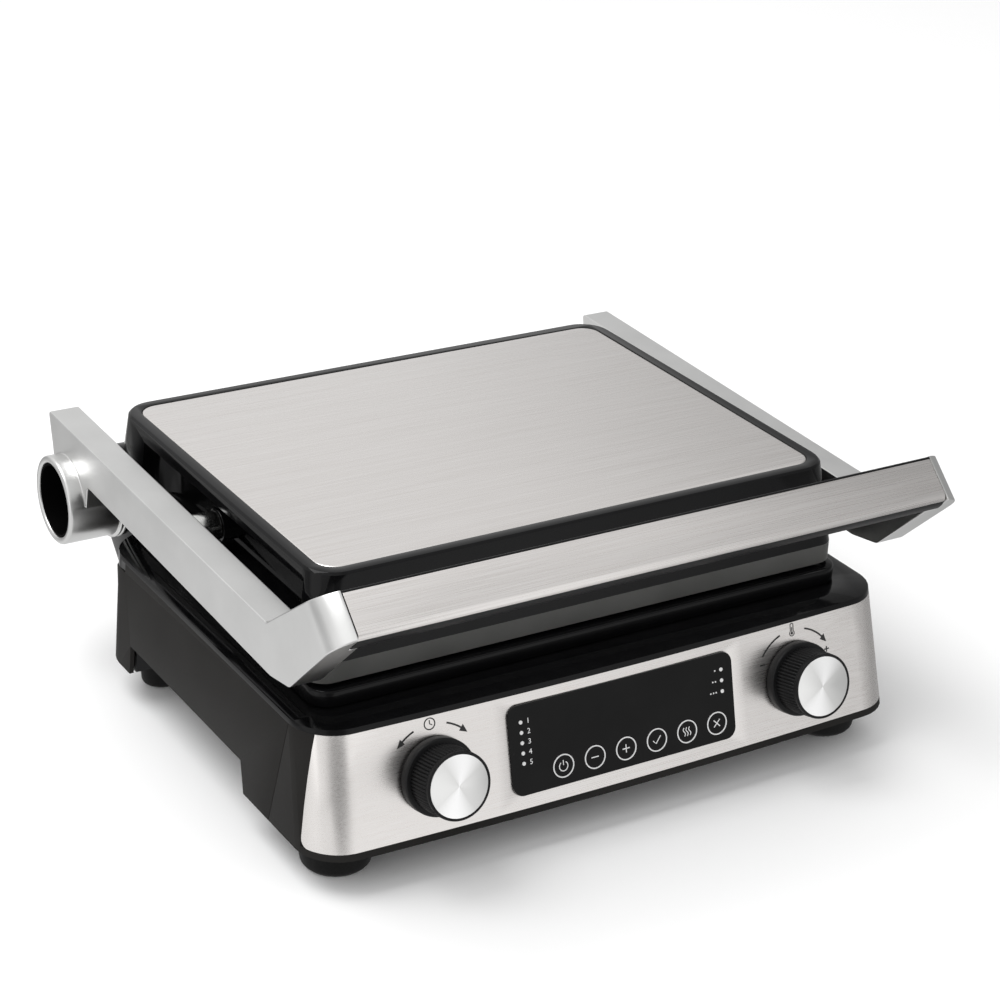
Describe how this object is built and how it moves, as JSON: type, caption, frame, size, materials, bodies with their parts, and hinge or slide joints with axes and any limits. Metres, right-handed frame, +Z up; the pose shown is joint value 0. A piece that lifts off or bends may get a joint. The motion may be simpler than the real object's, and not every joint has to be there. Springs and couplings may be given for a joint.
{
  "type": "electric indoor grill with lid",
  "caption": "Countertop contact grill: tilted steel control panel with two knobs, ribbed plates and a floating lid carried by a swinging handle frame.",
  "frame": {"origin": "middle of the footprint, front to back and side to side, on the table", "axes": "+X to the right seen from the front, +Y to the back, +Z up; the control panel faces -Y"},
  "size_m": [0.386, 0.3438, 0.1741],
  "materials": {
    "grey_plastic": "satin",
    "black_gloss": "gloss",
    "black_matt": "matt",
    "window": "gloss",
    "print": "printed",
    "terminal": "matt",
    "brushed_steel": "brushed along X",
    "cast_aluminium": "satin",
    "spun_aluminium": "spun",
    "tray_coating": "matt",
    "plate_coating": "non-stick coating",
    "sheet_steel": "plain",
    "plated_steel": "polished",
    "brass": "plain",
    "circuit_board": "solder mask",
    "rubber": "matt"
  },
  "bodies": {
    "base": {"base_housing": "grey_plastic", "front_frame": "grey_plastic", "front_panel": "brushed_steel", "bottom_cover": "black_matt", "top_deck": "black_gloss", "plate_surround": "black_gloss", "lower_plate": "plate_coating", "lower_heater": "sheet_steel", "lower_reflector": "sheet_steel", "lower_heater_clamps": "plated_steel", "lower_probe": "brass", "control_window": "window", "key_rings": "print", "indicator_lights": "print", "control_board": "circuit_board", "display_module": "black_matt", "time_encoder": "sheet_steel", "temp_encoder": "sheet_steel", "power_board": "circuit_board", "board_standoffs": "brass", "terminal_block": "terminal", "power_inlet": "black_matt", "front_feet": "rubber", "rear_feet": "rubber", "hinge_bracket_left": "black_gloss", "hinge_bracket_right": "black_gloss", "hinge_bushes": "brass", "base_screws": "sheet_steel", "bracket_screws": "sheet_steel"},
    "handle_frame": {"left_arm": "cast_aluminium", "right_arm": "cast_aluminium", "barrel_liners": "black_matt", "hinge_axles": "plated_steel", "hinge_washers": "sheet_steel", "handle_core": "black_matt", "handle_face": "brushed_steel", "handle_screws": "sheet_steel", "pivot_pins": "plated_steel"},
    "lid": {"lid_cover": "black_gloss", "lid_panel": "brushed_steel", "pivot_bushes": "brass", "upper_plate": "plate_coating", "upper_heater": "sheet_steel", "upper_reflector": "sheet_steel", "upper_heater_clamps": "plated_steel", "upper_fuse": "plated_steel", "lid_screws": "sheet_steel"},
    "time_dial": {"time_knob": "black_matt", "time_knob_cap": "spun_aluminium", "time_shaft": "plated_steel"},
    "temp_dial": {"temp_knob": "black_matt", "temp_knob_cap": "spun_aluminium", "temp_shaft": "plated_steel"},
    "tray": {"drip_tray": "tray_coating"}
  },
  "joints": [
    {"name": "frame_hinge", "type": "hinge", "parent": "base", "child": "handle_frame", "pos_m": [0, 0.1455, 0.1], "axis": [-1, 0, 0], "range_deg": [0, 180]},
    {"name": "lid_tilt", "type": "hinge", "parent": "handle_frame", "child": "lid", "pos_m": [0, 0.0235, 0.128], "axis": [1, 0, 0], "range_deg": [0, 9]},
    {"name": "time_turn", "type": "hinge", "parent": "base", "child": "time_dial", "pos_m": [-0.11, -0.1395, 0.05245], "axis": [0, -0.9722, 0.2344], "continuous": true},
    {"name": "temp_turn", "type": "hinge", "parent": "base", "child": "temp_dial", "pos_m": [0.11, -0.1395, 0.05245], "axis": [0, -0.9722, 0.2344], "continuous": true},
    {"name": "tray_slide", "type": "slide", "parent": "base", "child": "tray", "axis": [1, 0, 0], "range_m": [0, 0.115]}
  ],
  "couplings": [
    {"joint": "lid_tilt", "follows": "frame_hinge", "ratio": 0.05}
  ]
}
